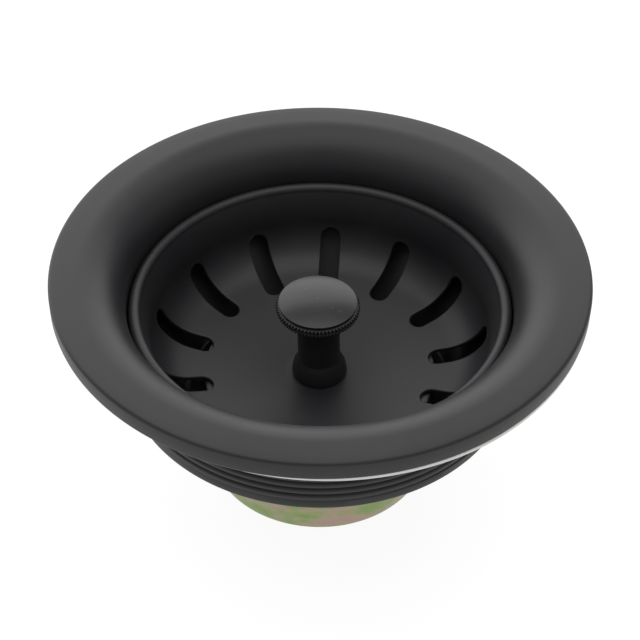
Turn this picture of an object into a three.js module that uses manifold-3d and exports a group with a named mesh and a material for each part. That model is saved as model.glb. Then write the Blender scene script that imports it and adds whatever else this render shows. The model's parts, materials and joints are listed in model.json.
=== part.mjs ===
// A 3-1/2 inch kitchen sink basket strainer: a flanged, threaded drain body that clamps through the
// sink, and a lift-out post basket with a rubber stopper. Millimetres, +Z up. The Z axis is the
// drain's centre line, and Z = 0 is the bottom of the coupling nut, the lowest piece.
import * as THREE from "three";
import { mergeVertices } from "three/addons/utils/BufferGeometryUtils.js";
import Module from "manifold-3d";

const wasm = await Module();
wasm.setup();

// ---- Driving dimensions ----
// Depths are measured down from the top of the flange, because the sink sets that height.
const FLANGE_TOP = 56.2;
const GAP = 0.3;
const BODY_SIDES = 52;
const SIDES = 36;
const FINE_SIDES = 24;

const FLANGE_R = 57.15;
const RIM_DEPTH = 4;
const RIM_ROUND = 0.8;
const WALL = 1.4;
const BEND_R = 10;

const NECK_R = 43;
const NECK_DEPTH = 28.9;
const THROAT_R = NECK_R - WALL;
const CONE_TOP = 21.5;
const CONE_FILLET = 8;
const CONE_DEG = 40;
const CUP_FLOOR = 37.8;

const SPUD_THREAD_R = 23.7;
const SPUD_BORE_R = 20.3;
const SPUD_LEDGE_R = 18.8;
const SPUD_TOP = 35.5;
const SPUD_FLANGE_R = 29;
const SPUD_FLANGE = 1.1;
const SPUD_BOTTOM = 51.2;

const BASKET_RIM_R = 41.2;
const BASKET_RIM_DEPTH = 9.95;
const BASKET_BEAD_R = 1.25;
const BASKET_SHEET = 1;
const BASKET_FLOOR = 31.5;
const BOWL_WALL_R = 37;
const BOWL_CORNER_R = 9.85;
const BOWL_CORNER_DEPTH = 18.2;
const DISH_EDGE_DEG = 80;
const DISH_POWER = 1.1;
const FLOOR_FLAT_R = 7.5;
const SLOT_COUNT = 13;
const SLOT_WIDTH = 4.4;
const SLOT_INNER_R = 24.4;
const SLOT_OUTER_R = 36.6;
const SLOT_PHASE_DEG = 86.3;

const STEM_R = 2.5;
const STEM_HOLE_R = STEM_R + GAP;
const POST_R = 4.65;
const FOOT_R = 6.1;
const FOOT_RISE = 5.4;
const KNOB_CAP_R = 8.5;
const KNOB_RING_R = 9.2;
const KNOB_TOP = 9.9;

// ---- Shape helpers ----
// A profile point: radius from the drain's axis, and depth below the top of the flange.
function at(radius, depth) {
  return new THREE.Vector2(radius, FLANGE_TOP - depth);
}

// Points along an arc of a profile; angles are counterclockwise from straight outwards.
function arc(centreR, centreDepth, radius, fromDeg, toDeg, steps) {
  const points = [];
  for (let i = 0; i <= steps; i++) {
    const angle = THREE.MathUtils.degToRad(fromDeg + ((toDeg - fromDeg) * i) / steps);
    points.push(at(centreR + radius * Math.cos(angle), centreDepth - radius * Math.sin(angle)));
  }
  return points;
}

// Turns a profile about the Z axis. The profile runs counterclockwise, outer wall upwards.
function turned(profile, sides = SIDES) {
  const geometry = new THREE.LatheGeometry(profile, sides);
  geometry.rotateX(Math.PI / 2);
  return geometry;
}

// A closed profile: the same points, ending where it started.
function closed(profile) {
  return [...profile, profile[0].clone()];
}

// A plain washer or collar between two radii and two depths.
function ring(innerR, outerR, topDepth, bottomDepth, sides = SIDES) {
  const profile = [
    at(innerR, bottomDepth),
    at(outerR, bottomDepth),
    at(outerR, topDepth),
    at(innerR, topDepth),
  ];
  return turned(closed(profile), sides);
}

// A flat shape in the XY plane, given its thickness between two depths.
function plate(shape, topDepth, bottomDepth, curveSegments) {
  const geometry = new THREE.ExtrudeGeometry(shape, {
    depth: bottomDepth - topDepth,
    bevelEnabled: false,
    curveSegments,
  });
  geometry.translate(0, 0, FLANGE_TOP - bottomDepth);
  return geometry;
}

function roundHole(radius) {
  return new THREE.Path().absarc(0, 0, radius, 0, Math.PI * 2, true);
}

// ---- Joining and cutting ----
function toSolid(geometry) {
  const bare = geometry.clone();
  bare.deleteAttribute("normal");
  bare.deleteAttribute("uv");
  const merged = mergeVertices(bare, 1e-4);
  const mesh = new wasm.Mesh({
    numProp: 3,
    vertProperties: merged.attributes.position.array,
    triVerts: new Uint32Array(merged.index.array),
  });
  return new wasm.Manifold(mesh);
}

function toGeometry(solid) {
  const mesh = solid.getMesh();
  const geometry = new THREE.BufferGeometry();
  geometry.setAttribute("position", new THREE.BufferAttribute(mesh.vertProperties, 3));
  geometry.setIndex(new THREE.BufferAttribute(mesh.triVerts, 1));
  const faceted = geometry.toNonIndexed();
  faceted.computeVertexNormals();
  return faceted;
}

// Copies a geometry to equal steps about the Z axis, as solids.
function aroundAxis(geometry, count, phaseDeg = 0) {
  const copies = [];
  for (let i = 0; i < count; i++) {
    const copy = geometry.clone();
    copy.rotateZ(THREE.MathUtils.degToRad(phaseDeg + (360 * i) / count));
    copies.push(toSolid(copy));
  }
  return copies;
}

// A block that reaches from one radius to another along +X, as wide as stated.
function radialBlock(innerR, outerR, width, topDepth, bottomDepth) {
  const geometry = new THREE.BoxGeometry(outerR - innerR, width, bottomDepth - topDepth);
  geometry.translate((innerR + outerR) / 2, 0, FLANGE_TOP - (topDepth + bottomDepth) / 2);
  return geometry;
}

// ---- Drain body ----
// One drawn shell: flange, bend, throat with the threaded neck outside, and a cone to the floor.
function strainerBody() {
  const bendCentre = THROAT_R + BEND_R;
  const lean = THREE.MathUtils.degToRad(CONE_DEG);
  const coneStartR = THROAT_R - CONE_FILLET * (1 - Math.cos(lean));
  const coneStart = CONE_TOP + CONE_FILLET * Math.sin(lean);
  const coneR = (depth) => coneStartR - (depth - coneStart) * Math.tan(lean);
  const thickness = WALL / Math.cos(lean);
  const hole = SPUD_THREAD_R + GAP;
  const profile = [
    at(hole, CUP_FLOOR + WALL),
    at(coneR(CUP_FLOOR + WALL) + thickness, CUP_FLOOR + WALL),
    at(coneR(NECK_DEPTH) + thickness, NECK_DEPTH),
    at(NECK_R, NECK_DEPTH),
    ...arc(bendCentre, BEND_R, BEND_R - WALL, 180, 90, 5),
    at(FLANGE_R - WALL, WALL),
    at(FLANGE_R - WALL, RIM_DEPTH),
    at(FLANGE_R, RIM_DEPTH),
    ...arc(FLANGE_R - RIM_ROUND, RIM_ROUND, RIM_ROUND, 0, 90, 2),
    ...arc(bendCentre, BEND_R, BEND_R, 90, 180, 6),
    ...arc(THROAT_R - CONE_FILLET, CONE_TOP, CONE_FILLET, 0, -CONE_DEG, 3),
    at(coneR(CUP_FLOOR), CUP_FLOOR),
    at(hole, CUP_FLOOR),
  ];
  return turned(closed(profile), BODY_SIDES);
}

// The 1-1/2 inch threaded outlet, with a seat for the stopper and a ledge for the crossbar.
function outletSpud() {
  const seatEdge = 22.4;
  const seatDepth = 2.5;
  const profile = [
    at(SPUD_LEDGE_R, SPUD_BOTTOM),
    at(SPUD_THREAD_R, SPUD_BOTTOM),
    at(SPUD_THREAD_R, SPUD_TOP + SPUD_FLANGE),
    at(SPUD_FLANGE_R, SPUD_TOP + SPUD_FLANGE),
    at(SPUD_FLANGE_R, SPUD_TOP),
    at(seatEdge, SPUD_TOP),
    at(SPUD_BORE_R, SPUD_TOP + seatDepth),
    at(SPUD_BORE_R, CROSSBAR_TOP + CROSSBAR_THICKNESS + GAP),
    at(SPUD_LEDGE_R, CROSSBAR_TOP + CROSSBAR_THICKNESS + GAP),
  ];
  return turned(closed(profile));
}

// ---- Pieces inside the outlet ----
const CROSSBAR_TOP = 45.8;
const CROSSBAR_THICKNESS = 1.5;
const CROSSBAR_HUB_R = 7.6;
const CROSSBAR_RING_WIDTH = 1.8;
const CROSSBAR_ARM = 3.6;
const SOCKET_R = 4.4;
const SOCKET_BORE_R = 3;
const SOCKET_BOTTOM = 50;
const CLIP_DEPTH = 48.1;
const CLIP_WIRE_R = 0.4;
const CLIP_RING_R = 3.25;

// One quarter of the open space between the crossbar's arms, its hub and its outer ring.
function crossbarWindow(quarter) {
  const outer = SPUD_BORE_R - GAP - CROSSBAR_RING_WIDTH;
  const half = CROSSBAR_ARM / 2;
  const outerAngle = Math.asin(half / outer);
  const innerAngle = Math.asin(half / CROSSBAR_HUB_R);
  const start = (quarter * Math.PI) / 2;
  const end = start + Math.PI / 2;
  const path = new THREE.Path();
  path.absarc(0, 0, outer, start + outerAngle, end - outerAngle, false);
  path.absarc(0, 0, CROSSBAR_HUB_R, end - innerAngle, start + innerAngle, true);
  path.closePath();
  return path;
}

function crossbar() {
  const shape = new THREE.Shape().absarc(0, 0, SPUD_BORE_R - GAP, 0, Math.PI * 2, false);
  for (let quarter = 0; quarter < 4; quarter++) {
    shape.holes.push(crossbarWindow(quarter));
  }
  shape.holes.push(roundHole(SOCKET_R + GAP));
  return plate(shape, CROSSBAR_TOP, CROSSBAR_TOP + CROSSBAR_THICKNESS, 8);
}

// A flanged sleeve in the crossbar's hub, with a groove for the spring clip.
function hubSocket() {
  const top = CROSSBAR_TOP - GAP - 0.9;
  const grooveR = SOCKET_BORE_R + 0.8;
  const grooveHalf = 0.6;
  const profile = [
    at(SOCKET_BORE_R, SOCKET_BOTTOM),
    at(SOCKET_R, SOCKET_BOTTOM),
    at(SOCKET_R, CROSSBAR_TOP - GAP),
    at(SOCKET_R + 1.8, CROSSBAR_TOP - GAP),
    at(SOCKET_R + 1.8, top),
    at(SOCKET_BORE_R, top),
    at(SOCKET_BORE_R, CLIP_DEPTH - grooveHalf),
    at(grooveR, CLIP_DEPTH - grooveHalf),
    at(grooveR, CLIP_DEPTH + grooveHalf),
    at(SOCKET_BORE_R, CLIP_DEPTH + grooveHalf),
  ];
  return turned(closed(profile), FINE_SIDES);
}

// An open wire ring that grips the stem.
function clipSpring() {
  const wire = new THREE.Shape().absarc(0, 0, CLIP_WIRE_R, 0, Math.PI * 2, false);
  const path = new THREE.Curve();
  const opening = 0.9;
  path.getPoint = (t) => {
    const angle = opening / 2 + t * (Math.PI * 2 - opening);
    return new THREE.Vector3(CLIP_RING_R * Math.cos(angle), CLIP_RING_R * Math.sin(angle), 0);
  };
  const geometry = new THREE.ExtrudeGeometry(wire, { steps: 16, curveSegments: 3, extrudePath: path });
  geometry.translate(0, 0, FLANGE_TOP - CLIP_DEPTH);
  return geometry;
}

// ---- Clamping pieces under the flange ----
// The gasket, friction ring and locknut stand a little below the seal, where the sink's rim goes.
const SEAL_TOP = RIM_DEPTH + GAP;
const SEAL_THICKNESS = 0.9;
const SEAL_INNER_R = 47.6;
const SEAL_OUTER_R = 55.4;
const SEAL_SHIFT = { x: 1.1, y: -1.2 };
const SINK_SPACE = 2.1;
const GASKET_TOP = SEAL_TOP + SEAL_THICKNESS + SINK_SPACE;
const GASKET_THICKNESS = 1.5;
const FRICTION_TOP = GASKET_TOP + GASKET_THICKNESS + GAP;
const FRICTION_THICKNESS = 0.6;
const LOCKNUT_TOP = FRICTION_TOP + FRICTION_THICKNESS + GAP;
const LOCKNUT_PLATE = 1.1;
const LOCKNUT_HEIGHT = 4.1;
const LUG_COUNT = 8;

// A stamped nut: a threaded collar under a flat plate with driving lugs round its edge.
function locknut() {
  const boreR = NECK_R + GAP + 0.15;
  const collarR = 46.3;
  const plateR = 48.6;
  const lugR = 49.7;
  const plateBottom = LOCKNUT_TOP + LOCKNUT_PLATE;
  const profile = [
    at(boreR, LOCKNUT_TOP + LOCKNUT_HEIGHT),
    at(collarR, LOCKNUT_TOP + LOCKNUT_HEIGHT),
    at(collarR, plateBottom),
    at(plateR, plateBottom),
    at(plateR, LOCKNUT_TOP),
    at(boreR, LOCKNUT_TOP),
  ];
  const lug = radialBlock(collarR, lugR, 9, LOCKNUT_TOP, plateBottom);
  const nut = wasm.Manifold.union([toSolid(turned(closed(profile))), ...aroundAxis(lug, LUG_COUNT)]);
  return toGeometry(nut);
}

// ---- Nuts of the outlet ----
const SPUD_NUT_TOP = CUP_FLOOR + WALL + GAP;
const SPUD_NUT_THICKNESS = 2.8;
const COUPLING_TOP = SPUD_NUT_TOP + SPUD_NUT_THICKNESS + 0.5;
const COUPLING_R = 25.3;
const COUPLING_COLLAR = 2.6;
const LIP_THICKNESS = 1.3;
const LIP_R = 19.3;
const WASHER_THICKNESS = 1.1;
const WASHER_BOTTOM = FLANGE_TOP - LIP_THICKNESS - GAP;

// A round nut with four spanner notches; it holds the spud to the cup's floor.
function spudNut() {
  const outerR = 30;
  const bottom = SPUD_NUT_TOP + SPUD_NUT_THICKNESS;
  const notch = radialBlock(outerR - 2.4, outerR + 2, 6, SPUD_NUT_TOP - 1, bottom + 1);
  const body = toSolid(ring(SPUD_THREAD_R + GAP, outerR, SPUD_NUT_TOP, bottom));
  const cuts = wasm.Manifold.union(aroundAxis(notch, 4, 45));
  return toGeometry(body.subtract(cuts));
}

// The tailpiece nut: a smooth skirt with a lugged collar at its top and a lip turned in below.
function couplingNut() {
  const boreR = SPUD_THREAD_R + GAP;
  const collarR = 26.9;
  const lugR = 28.5;
  const bottomRound = 0.5;
  const collarBottom = COUPLING_TOP + COUPLING_COLLAR;
  const profile = [
    at(LIP_R, FLANGE_TOP),
    ...arc(COUPLING_R - bottomRound, FLANGE_TOP - bottomRound, bottomRound, -90, 0, 2),
    at(COUPLING_R, collarBottom),
    at(collarR, collarBottom),
    at(collarR, COUPLING_TOP),
    at(boreR, COUPLING_TOP),
    at(boreR, FLANGE_TOP - LIP_THICKNESS),
    at(LIP_R, FLANGE_TOP - LIP_THICKNESS),
  ];
  const lug = radialBlock(COUPLING_R, lugR, 6.5, COUPLING_TOP, collarBottom);
  const nut = wasm.Manifold.union([toSolid(turned(closed(profile))), ...aroundAxis(lug, LUG_COUNT)]);
  return toGeometry(nut);
}

// ---- Basket ----
// The bowl's surface from the stem hole to the top of its wall: a flat round the post, a shallow
// dish, a rounded corner and a nearly upright wall. The offset gives the sheet's other side.
function bowlCurve(offset) {
  const corner = BOWL_CORNER_R + offset;
  const cornerCentreR = BOWL_WALL_R - BOWL_CORNER_R;
  const edge = THREE.MathUtils.degToRad(DISH_EDGE_DEG);
  const dishR = cornerCentreR + corner * Math.cos(edge);
  const dishDepth = BOWL_CORNER_DEPTH + corner * Math.sin(edge);
  const floorDepth = BASKET_FLOOR + offset;
  const dishSteps = 5;
  const points = [at(STEM_HOLE_R, floorDepth)];
  for (let i = 0; i < dishSteps; i++) {
    const share = i / dishSteps;
    const rise = (floorDepth - dishDepth) * Math.pow(share, DISH_POWER);
    points.push(at(FLOOR_FLAT_R + (dishR - FLOOR_FLAT_R) * share, floorDepth - rise));
  }
  return [...points, ...arc(cornerCentreR, BOWL_CORNER_DEPTH, corner, -DISH_EDGE_DEG, 0, 4)];
}

function slotCutter() {
  const half = SLOT_WIDTH / 2;
  const shape = new THREE.Shape();
  shape.absarc(SLOT_OUTER_R - half, 0, half, -Math.PI / 2, Math.PI / 2, false);
  shape.absarc(SLOT_INNER_R + half, 0, half, Math.PI / 2, (3 * Math.PI) / 2, false);
  shape.closePath();
  return plate(shape, BASKET_RIM_DEPTH + 4, BASKET_FLOOR + 4, 4);
}

// The perforated bowl, with a rolled bead for a rim.
function basketShell() {
  const beadR = BASKET_RIM_R - BASKET_BEAD_R;
  const beadDepth = BASKET_RIM_DEPTH + BASKET_BEAD_R;
  const lipDepth = beadDepth + 1.3;
  const profile = [
    ...bowlCurve(BASKET_SHEET),
    at(beadR - BASKET_BEAD_R + BASKET_SHEET, lipDepth),
    at(BASKET_RIM_R, lipDepth),
    ...arc(beadR, beadDepth, BASKET_BEAD_R, 0, 180, 4),
    ...bowlCurve(0).reverse(),
  ];
  const bowl = toSolid(turned(closed(profile), SLOT_COUNT * 4));
  const slots = wasm.Manifold.union(aroundAxis(slotCutter(), SLOT_COUNT, SLOT_PHASE_DEG));
  return toGeometry(bowl.subtract(slots));
}

// The hollow post, swelled into a bell-shaped foot on the basket's floor.
function basketPost() {
  const bottom = BASKET_FLOOR - GAP;
  const footStep = 0.4;
  const flareSteps = 4;
  const profile = [at(STEM_HOLE_R, bottom), at(FOOT_R, bottom)];
  for (let i = 0; i <= flareSteps; i++) {
    const share = i / flareSteps;
    const radius = POST_R + (FOOT_R - POST_R) * (1 - Math.pow(share, 1.85));
    profile.push(at(radius, bottom - footStep - (FOOT_RISE - footStep) * share));
  }
  profile.push(at(POST_R, KNOB_RING_BOTTOM + GAP));
  profile.push(at(STEM_HOLE_R, KNOB_RING_BOTTOM + GAP));
  return turned(closed(profile), FINE_SIDES);
}

// ---- Knob, stem and stopper ----
const KNOB_CAP_BOTTOM = 11.3;
const KNOB_RING_TOP = KNOB_CAP_BOTTOM + GAP;
const KNOB_RING_BOTTOM = 13.5;
const STEM_BOTTOM = 52.4;

function knobCap() {
  const edgeDepth = 10.9;
  const profile = [at(0, KNOB_CAP_BOTTOM), at(KNOB_CAP_R, KNOB_CAP_BOTTOM)];
  const steps = 5;
  for (let i = 0; i <= steps; i++) {
    const share = i / steps;
    profile.push(at(KNOB_CAP_R * (1 - share), edgeDepth - (edgeDepth - KNOB_TOP) * (1 - (1 - share) ** 2)));
  }
  return turned(profile, FINE_SIDES);
}

// The grip ring under the cap; its edge is knurled on the real piece and plain here.
function knobRing() {
  const profile = [
    at(STEM_HOLE_R, KNOB_RING_BOTTOM),
    at(POST_R + 1.2, KNOB_RING_BOTTOM),
    at(KNOB_RING_R - 0.4, KNOB_RING_TOP + 1.5),
    at(KNOB_RING_R, KNOB_RING_TOP + 1.1),
    at(KNOB_RING_R, KNOB_RING_TOP),
    at(STEM_HOLE_R, KNOB_RING_TOP),
  ];
  return turned(closed(profile), FINE_SIDES);
}

// The rod that ties knob, post, basket and stopper together and plugs into the hub socket.
function stem() {
  const grooveR = 2.05;
  const grooveHalf = 0.7;
  const top = KNOB_RING_TOP + GAP;
  const profile = [
    at(0, STEM_BOTTOM),
    at(1.3, STEM_BOTTOM),
    at(STEM_R, STEM_BOTTOM - 1.4),
    at(STEM_R, CLIP_DEPTH + grooveHalf),
    at(grooveR, CLIP_DEPTH + grooveHalf / 2),
    at(grooveR, CLIP_DEPTH - grooveHalf / 2),
    at(STEM_R, CLIP_DEPTH - grooveHalf),
    at(STEM_R, top),
    at(0, top),
  ];
  return turned(profile, FINE_SIDES);
}

const FLOOR_WASHER_TOP = BASKET_FLOOR + BASKET_SHEET + GAP;
const FLOOR_WASHER_THICKNESS = 0.8;
const STOPPER_TOP = FLOOR_WASHER_TOP + FLOOR_WASHER_THICKNESS + GAP;
const STOPPER_BRIM = SPUD_TOP - GAP - STOPPER_TOP;
const PLUG_DEPTH = 3.7;
const PLATE_TOP = STOPPER_TOP + STOPPER_BRIM + PLUG_DEPTH + GAP;
const PLATE_THICKNESS = 1;
const STEM_NUT_TOP = PLATE_TOP + PLATE_THICKNESS + GAP;
const STEM_NUT_HEIGHT = 3.3;

// A rubber brim that seals on the spud's flange, over a tapered plug that centres it in the bore.
// Its top is dished to the basket's underside.
function stopperSeal() {
  const brimR = 25.7;
  const dish = { innerR: 9.5, middleR: 19, middleRise: 2.3, edgeRise: 3.5 };
  const brimBottom = STOPPER_TOP + STOPPER_BRIM;
  const profile = [
    at(STEM_HOLE_R, brimBottom + PLUG_DEPTH),
    at(19.4, brimBottom + PLUG_DEPTH),
    at(20.9, brimBottom),
    at(brimR, brimBottom),
    at(brimR, STOPPER_TOP - dish.edgeRise + 0.6),
    at(brimR - 0.6, STOPPER_TOP - dish.edgeRise),
    at(dish.middleR, STOPPER_TOP - dish.middleRise),
    at(dish.innerR, STOPPER_TOP),
    at(STEM_HOLE_R, STOPPER_TOP),
  ];
  return turned(closed(profile));
}

function stemNut() {
  const acrossCorners = 10.4;
  const shape = new THREE.Shape();
  for (let corner = 0; corner < 6; corner++) {
    const angle = (corner * Math.PI) / 3;
    const point = [(acrossCorners / 2) * Math.cos(angle), (acrossCorners / 2) * Math.sin(angle)];
    if (corner === 0) {
      shape.moveTo(...point);
    } else {
      shape.lineTo(...point);
    }
  }
  shape.closePath();
  shape.holes.push(roundHole(STEM_HOLE_R));
  return plate(shape, STEM_NUT_TOP, STEM_NUT_TOP + STEM_NUT_HEIGHT, 12);
}

// ---- Finishes ----
const FINISHES = {
  blackCoat: { color: 0x2c2c2e, roughness: 0.5, metalness: 0.3 },
  chromate: { color: 0x9fa07c, roughness: 0.35, metalness: 0.9 },
  steel: { color: 0xb8bbbd, roughness: 0.3, metalness: 1 },
  rubber: { color: 0x1d1d1e, roughness: 0.8, metalness: 0 },
  foam: { color: 0xdad9d4, roughness: 0.9, metalness: 0 },
  fibre: { color: 0x9b8467, roughness: 0.95, metalness: 0 },
  nylon: { color: 0xe6e4dc, roughness: 0.6, metalness: 0 },
};

const strainer = new THREE.Group();

function addPiece(name, geometry, finish) {
  const mesh = new THREE.Mesh(geometry, new THREE.MeshStandardMaterial(FINISHES[finish]));
  mesh.name = name;
  strainer.add(mesh);
  return mesh;
}

// ---- Fixed drain ----
addPiece("strainer_body", strainerBody(), "blackCoat");
addPiece("outlet_spud", outletSpud(), "blackCoat");
addPiece(
  "spud_gasket",
  ring(SPUD_THREAD_R + GAP, SPUD_FLANGE_R - 0.2, SPUD_TOP + SPUD_FLANGE + GAP, CUP_FLOOR - GAP),
  "fibre",
);
addPiece("spud_nut", spudNut(), "chromate");
addPiece("crossbar", crossbar(), "steel");
addPiece("hub_socket", hubSocket(), "steel");
addPiece("clip_spring", clipSpring(), "steel");

// The flange seal is a loose ring, and it has slipped a little to one side.
const flangeSeal = addPiece(
  "flange_seal",
  ring(SEAL_INNER_R, SEAL_OUTER_R, SEAL_TOP, SEAL_TOP + SEAL_THICKNESS),
  "foam",
);
flangeSeal.position.set(SEAL_SHIFT.x, SEAL_SHIFT.y, 0);

// ---- Pieces that clamp the drain to the sink ----
addPiece("rubber_gasket", ring(45.1, 51.6, GASKET_TOP, GASKET_TOP + GASKET_THICKNESS), "rubber");
addPiece("friction_ring", ring(44, 50.6, FRICTION_TOP, FRICTION_TOP + FRICTION_THICKNESS), "fibre");
addPiece("locknut", locknut(), "chromate");

// ---- Pieces that clamp the tailpiece to the outlet ----
// The washer lies on the nut's lip; the tailpiece's flange goes between it and the spud's end.
addPiece("coupling_nut", couplingNut(), "chromate");
addPiece("tailpiece_washer", ring(19.5, 23.6, WASHER_BOTTOM - WASHER_THICKNESS, WASHER_BOTTOM), "nylon");

// ---- Lift-out basket ----
addPiece("basket_shell", basketShell(), "blackCoat");
addPiece("basket_post", basketPost(), "blackCoat");
addPiece("knob_ring", knobRing(), "blackCoat");
addPiece("knob_cap", knobCap(), "blackCoat");
addPiece("stem", stem(), "steel");
addPiece(
  "floor_washer",
  ring(STEM_HOLE_R, 8.5, FLOOR_WASHER_TOP, FLOOR_WASHER_TOP + FLOOR_WASHER_THICKNESS, FINE_SIDES),
  "steel",
);
addPiece("stopper_seal", stopperSeal(), "rubber");
addPiece("stopper_plate", ring(STEM_HOLE_R, 16, PLATE_TOP, PLATE_TOP + PLATE_THICKNESS, FINE_SIDES), "steel");
addPiece("stem_nut", stemNut(), "steel");

export default strainer;
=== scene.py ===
"""The looks of a kitchen sink basket strainer: fine surfaces, finishes, light and camera.

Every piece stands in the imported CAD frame. Sections are given in millimetres, as a radius from
the drain's axis and a depth below the top of the flange, as in the CAD source.
"""
import json
import math

import bmesh
import bpy
import numpy as np
from mathutils import Matrix, Vector


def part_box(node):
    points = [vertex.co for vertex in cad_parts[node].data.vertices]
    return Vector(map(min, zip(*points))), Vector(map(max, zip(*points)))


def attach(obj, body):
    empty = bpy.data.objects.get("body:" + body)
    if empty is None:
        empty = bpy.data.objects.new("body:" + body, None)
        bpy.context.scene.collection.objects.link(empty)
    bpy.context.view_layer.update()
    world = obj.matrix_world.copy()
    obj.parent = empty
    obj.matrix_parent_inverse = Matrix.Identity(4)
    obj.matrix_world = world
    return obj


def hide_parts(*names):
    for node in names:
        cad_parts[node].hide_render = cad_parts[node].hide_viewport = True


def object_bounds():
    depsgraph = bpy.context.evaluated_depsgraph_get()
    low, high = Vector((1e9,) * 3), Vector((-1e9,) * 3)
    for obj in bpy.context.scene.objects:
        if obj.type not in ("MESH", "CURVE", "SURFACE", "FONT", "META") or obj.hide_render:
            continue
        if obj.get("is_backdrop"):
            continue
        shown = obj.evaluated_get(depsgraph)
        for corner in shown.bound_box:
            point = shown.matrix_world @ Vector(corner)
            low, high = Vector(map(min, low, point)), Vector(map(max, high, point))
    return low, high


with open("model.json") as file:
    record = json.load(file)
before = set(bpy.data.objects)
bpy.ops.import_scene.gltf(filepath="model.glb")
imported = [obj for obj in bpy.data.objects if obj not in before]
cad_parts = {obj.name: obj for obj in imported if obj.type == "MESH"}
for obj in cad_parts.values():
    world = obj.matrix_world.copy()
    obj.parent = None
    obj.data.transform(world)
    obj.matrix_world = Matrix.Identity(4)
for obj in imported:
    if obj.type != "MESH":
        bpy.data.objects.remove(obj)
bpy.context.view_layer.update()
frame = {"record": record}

# ---- Driving dimensions, in millimetres ----
MM = 0.001
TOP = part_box("strainer_body")[1].z
ROUND_SIDES = 256

# The CAD leaves the first gap between parts that touch; the fine pieces close it to the second.
CAD_GAP = 0.3
TOUCH = 0.04

# The drain. The neck's thread is placed by the depth of one groove at the front.
FLANGE_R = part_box("strainer_body")[1].x / MM
WALL = 1.4
BEND_R = 10
NECK_R = 43
THROAT_R = NECK_R - WALL
NECK_DEPTH = 28.9
NECK_PITCH = 1.8143
NECK_GROOVE = 0.62
FRONT_GROOVE_DEPTH = 24.98
CUP_FLOOR = 37.8
CONE_TOP = 21.5
CONE_FILLET = 8
CONE_DEG = 40
OUTLET_R = 23.7
OUTLET_PITCH = 2.2087
OUTLET_GROOVE = 1.05
GASKET_HOLE_R = 45.1
FRICTION_HOLE_R = 44.1
TAILPIECE_HOLE_R = 19.5
STEM_R = 2.5
CLIP_DEPTH = 48.1
LUG_COUNT = 8

# The basket. The slots are cut in a band of the bowl, and the plain sheet goes on at both sides of it.
BASKET_SHEET = 1
BASKET_FLOOR = 31.5
BOWL_WALL_R = 37
BOWL_CORNER_R = 9.85
BOWL_CORNER_DEPTH = 18.2
DISH_EDGE_DEG = 80
DISH_POWER = 1.1
FLOOR_FLAT_R = 7.5
BEAD_R = 1.25
BAND_INNER_R = 21.4
BAND_OUTER_DEPTH = 14.5
SLOT_COUNT = 13
SLOT_WIDTH = 4.4
SLOT_INNER_R = 24.4
SLOT_OUTER_DEPTH = 20.5
SLOT_PHASE_DEG = 86.3

# The post and the knob on it.
POST_R = 4.65
KNOB_LEAN_DEG = 1.4
FOOT_RISE = 4.7
KNURL_COUNT = 70
KNOB_BORE = STEM_R + 0.9


def extent(node):
    """Outer radius, top depth and bottom depth of a CAD node, in millimetres."""
    low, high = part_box(node)
    return (high.x - low.x) / 2 / MM, (TOP - high.z) / MM, (TOP - low.z) / MM


BASKET_R, BASKET_TOP, _ = extent("basket_shell")


# ---- Sections ----
def arc(centre_r, centre_depth, radius, start_deg, end_deg, steps=12):
    """Points along an arc of a section; angles are counterclockwise from straight outwards."""
    angles = np.radians(np.linspace(start_deg, end_deg, steps + 1))
    return [(centre_r + radius * math.cos(a), centre_depth - radius * math.sin(a)) for a in angles]


def rounded(corners, steps=4, loop=True):
    """A section from (radius, depth, rounding) corners, each corner turned into an arc.

    Without loop, the first and last corners only give a direction, and are left out.
    """
    points = []
    count = len(corners)
    for i in range(count) if loop else range(1, count - 1):
        r, d, rounding = corners[i]
        if rounding == 0:
            points.append((r, d))
            continue
        here = Vector((r, d))
        before = Vector(corners[i - 1][:2]) - here
        after = Vector(corners[(i + 1) % count][:2]) - here
        reach = min(rounding / math.tan(before.angle(after) / 2), before.length / 2, after.length / 2)
        start = here + before.normalized() * reach
        end = here + after.normalized() * reach
        for k in range(steps + 1):
            t = k / steps
            curve = start * (1 - t) ** 2 + here * (2 * t * (1 - t)) + end * t ** 2
            points.append((curve.x, curve.y))
    return points


def column_angles(sides=ROUND_SIDES):
    """The angles of a turned surface's columns, the last one closing the turn."""
    return np.linspace(0, 2 * np.pi, sides + 1)


def smooth(t):
    """A smooth step from 0 to 1 as t goes from 0 to 1."""
    t = np.clip(t, 0, 1)
    return t * t * (3 - 2 * t)


def rolled_form(phase):
    """A rolled thread: wide rounded crests between narrow grooves, 1 in the groove."""
    return np.abs(2 * phase - 1) ** 3.2


def cut_form(phase):
    """A cut V thread with small flats, 1 in the groove."""
    crest_flat, flank = 0.12, 0.74
    return np.clip((np.abs(2 * phase - 1) - crest_flat) / flank, 0, 1)


def thread(radius, groove, pitch, start, end, form, fade=0.7, offset=0.0, sides=ROUND_SIDES):
    """Rows of a right-hand thread between two depths. A positive groove cuts inwards from radius."""
    angles = column_angles(sides)
    turn = pitch * angles / (2 * np.pi)
    shallow, deep = min(start, end), max(start, end)
    per_pitch = 12
    count = math.ceil((deep - shallow + pitch) / pitch * per_pitch)
    rows = []
    for k in range(count + 1):
        depth = np.clip(shallow + k * pitch / per_pitch - turn, shallow, deep)
        phase = np.mod((depth + turn - offset) / pitch, 1)
        ends = smooth((depth - shallow) / fade) * smooth((deep - depth) / fade)
        rows.append((radius - groove * form(phase) * ends, depth))
    return rows if start < end else rows[::-1]


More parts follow.
